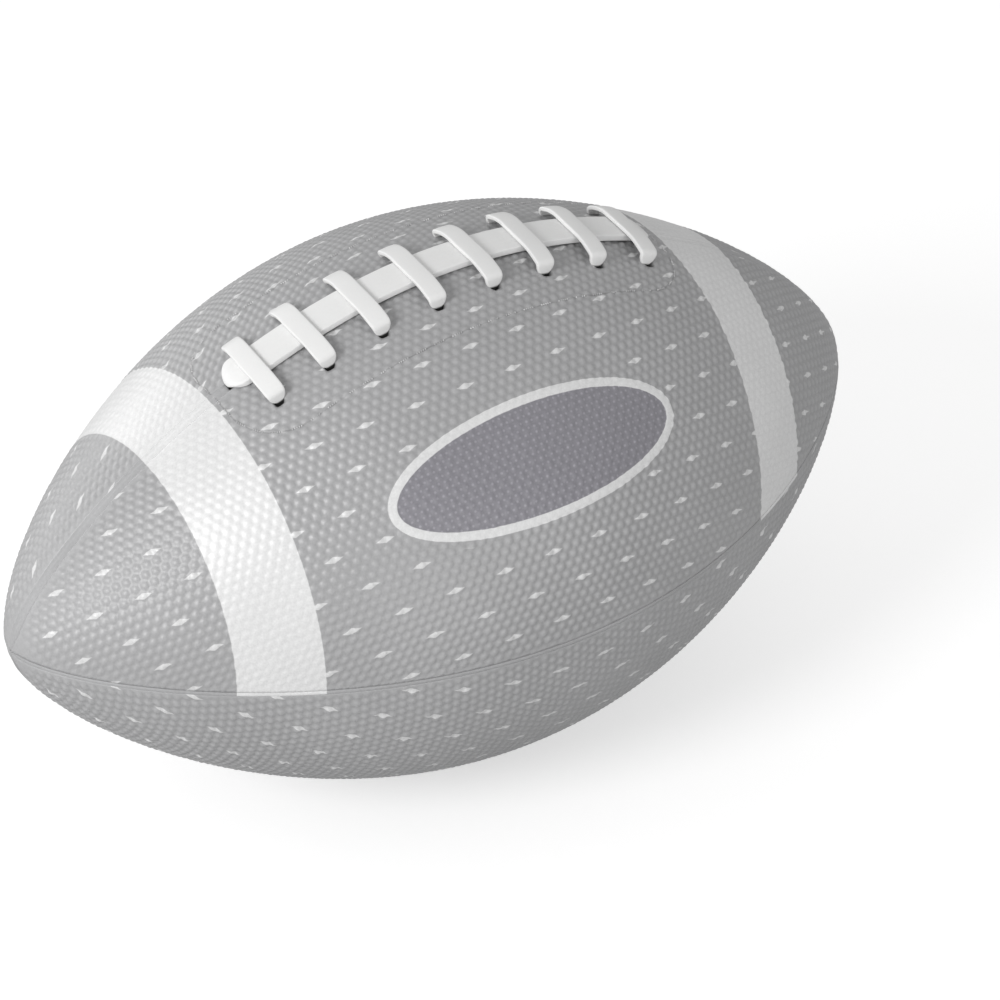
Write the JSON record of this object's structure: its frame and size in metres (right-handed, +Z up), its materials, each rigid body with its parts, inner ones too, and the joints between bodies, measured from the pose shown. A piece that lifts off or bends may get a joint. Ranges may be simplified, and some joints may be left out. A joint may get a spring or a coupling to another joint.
{
  "type": "american football",
  "caption": "Pointed oval rubber ball with pebbled cover panels, raised seam beads, white end stripes and white lacing along the top, for throwing, catching and kicking.",
  "frame": {"origin": "on the resting surface, under the middle of the ball", "axes": "+X along the long axis of the ball, +Y across it to the rear, +Z up through the lacing"},
  "size_m": [0.2736, 0.1558, 0.1582],
  "materials": {
    "cover_rubber": "pebbled satin rubber, grey, with white painted stripes",
    "seam_rubber": "smooth satin rubber, grey",
    "lace_vinyl": "smooth soft vinyl, white",
    "backing_fabric": "rubberised woven fabric, unbleached",
    "bladder_rubber": "smooth black butyl rubber",
    "valve_rubber": "smooth black rubber"
  },
  "bodies": {
    "root": {"cover_panel_top_front": "cover_rubber", "cover_panel_top_rear": "cover_rubber", "cover_panel_bottom_front": "cover_rubber", "cover_panel_bottom_rear": "cover_rubber", "seam_strip_front": "seam_rubber", "seam_strip_rear": "seam_rubber", "seam_strip_bottom": "seam_rubber", "seam_strip_top_left": "seam_rubber", "seam_strip_top_right": "seam_rubber", "lace_strap": "lace_vinyl", "lace_bar_1": "lace_vinyl", "lace_bar_2": "lace_vinyl", "lace_bar_3": "lace_vinyl", "lace_bar_4": "lace_vinyl", "lace_bar_5": "lace_vinyl", "lace_bar_6": "lace_vinyl", "lace_bar_7": "lace_vinyl", "lace_bar_8": "lace_vinyl", "lace_tongue": "backing_fabric", "carcass": "backing_fabric", "bladder": "bladder_rubber", "valve_body": "valve_rubber", "valve_core": "valve_rubber"}
  },
  "joints": []
}
